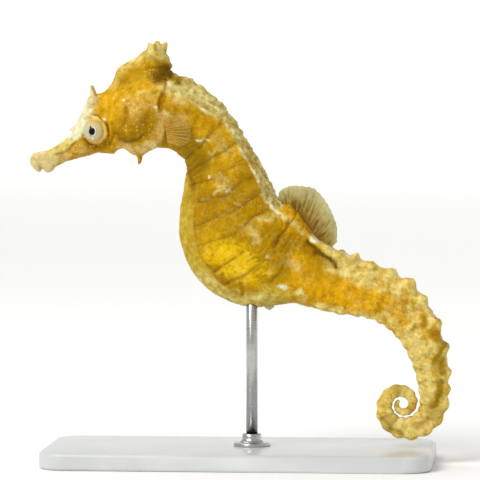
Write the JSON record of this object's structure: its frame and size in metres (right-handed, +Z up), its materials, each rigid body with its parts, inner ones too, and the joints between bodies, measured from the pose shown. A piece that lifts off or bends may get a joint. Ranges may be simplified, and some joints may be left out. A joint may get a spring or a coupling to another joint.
{
  "type": "seahorse model",
  "caption": "Life-size still model of a White's seahorse, head low and belly forward, tail coiled at its end, held on a flat base by one short rod.",
  "frame": {"origin": "middle of the underside of the stand's base, which is the bottom centre of the whole part's box", "axes": "+Z up; the head points along -X and the tail lies towards +X; the animal's left side faces -Y"},
  "size_m": [0.074, 0.032, 0.0741],
  "materials": {
    "skin_head": "ochre yellow fish skin, satin, with fine pale speckles",
    "skin_coronet": "pale straw skin over bone, satin",
    "skin_trunk": "golden ochre fish skin over bony rings, satin",
    "skin_tail": "straw to ochre fish skin over bony rings, satin",
    "fin": "thin pale fin membrane with brown rays at its foot",
    "eye": "pale iris with a dark pupil under a clear gloss",
    "stand_acrylic": "pale satin acrylic",
    "stand_steel": "fine brushed stainless steel"
  },
  "bodies": {
    "root": {"head": "skin_head", "snout": "skin_head", "coronet": "skin_coronet", "eye_left": "eye", "eye_right": "eye", "neck": "skin_trunk", "trunk_upper": "skin_trunk", "trunk_middle": "skin_trunk", "trunk_lower": "skin_trunk", "tail_root": "skin_tail", "tail_upper": "skin_tail", "tail_middle": "skin_tail", "tail_lower": "skin_tail", "tail_curl_1": "skin_tail", "tail_curl_2": "skin_tail", "tail_curl_3": "skin_tail", "tail_tip": "skin_tail", "dorsal_fin": "fin", "anal_fin": "fin", "pectoral_fin_left": "fin", "pectoral_fin_right": "fin", "stand_base": "stand_acrylic", "stand_rod": "stand_steel", "stand_foot": "stand_steel"}
  },
  "joints": []
}
